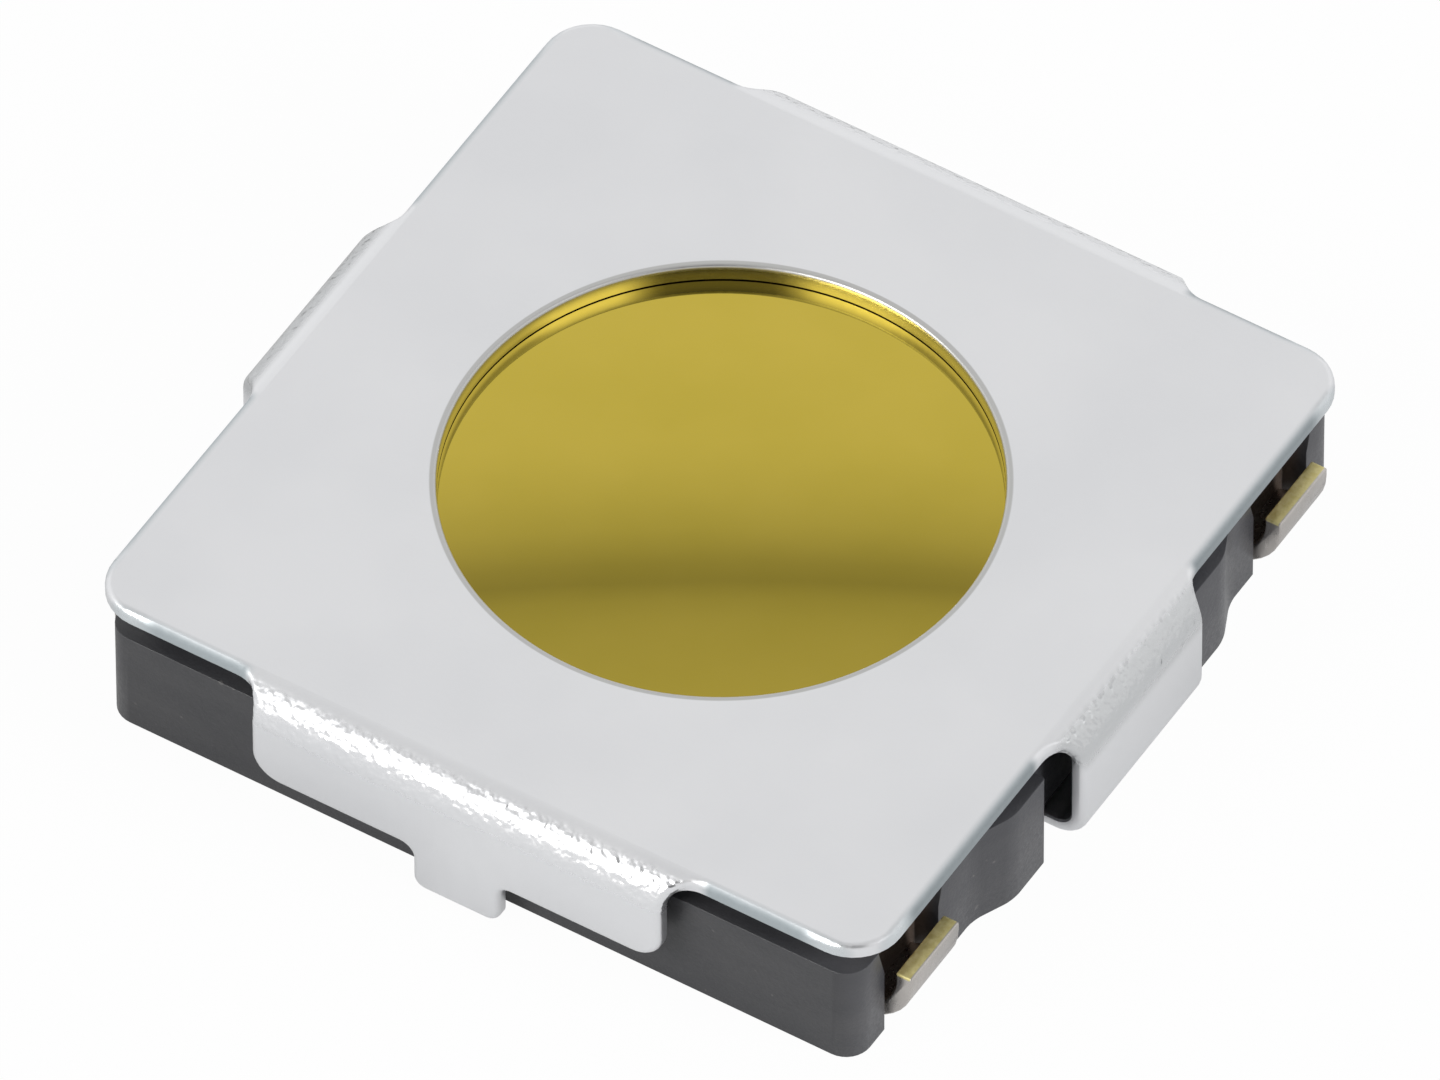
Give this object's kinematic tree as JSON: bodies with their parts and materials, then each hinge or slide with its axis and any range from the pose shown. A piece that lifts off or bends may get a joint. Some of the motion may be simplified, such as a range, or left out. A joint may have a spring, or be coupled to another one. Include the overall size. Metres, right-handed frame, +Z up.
{
  "type": "tactile push switch",
  "caption": "Low surface-mount tactile push switch: folded steel cover with a round window over a film-sealed snap dome, side clips and upturned solder terminals.",
  "frame": {"origin": "centre of the housing's underside, on the board", "axes": "+Z up out of the window, +X and -X towards the terminals, +Y and -Y towards the wide cover flanges"},
  "size_m": [0.0052, 0.0052, 0.0009],
  "materials": {
    "cover_steel": "satin, bright worn folds",
    "amber_film": "glossy amber",
    "dome_steel": "satin",
    "housing_plastic": "fine matt moulding",
    "lead_brass": "bright plated sheet, yellow at the cut ends"
  },
  "bodies": {
    "switch_body": {"cover": "cover_steel", "seal_film": "amber_film", "housing": "housing_plastic", "outer_contact_frame": "lead_brass", "centre_contact_frame": "lead_brass"},
    "dome": {"snap_dome": "dome_steel"}
  },
  "joints": [
    {"name": "dome_press", "type": "slide", "parent": "switch_body", "child": "dome", "axis": [0, 0, -1], "range_m": [0, 0.00023], "stiffness_N_per_m": 7000, "deforming": ["snap_dome", "seal_film"]}
  ]
}
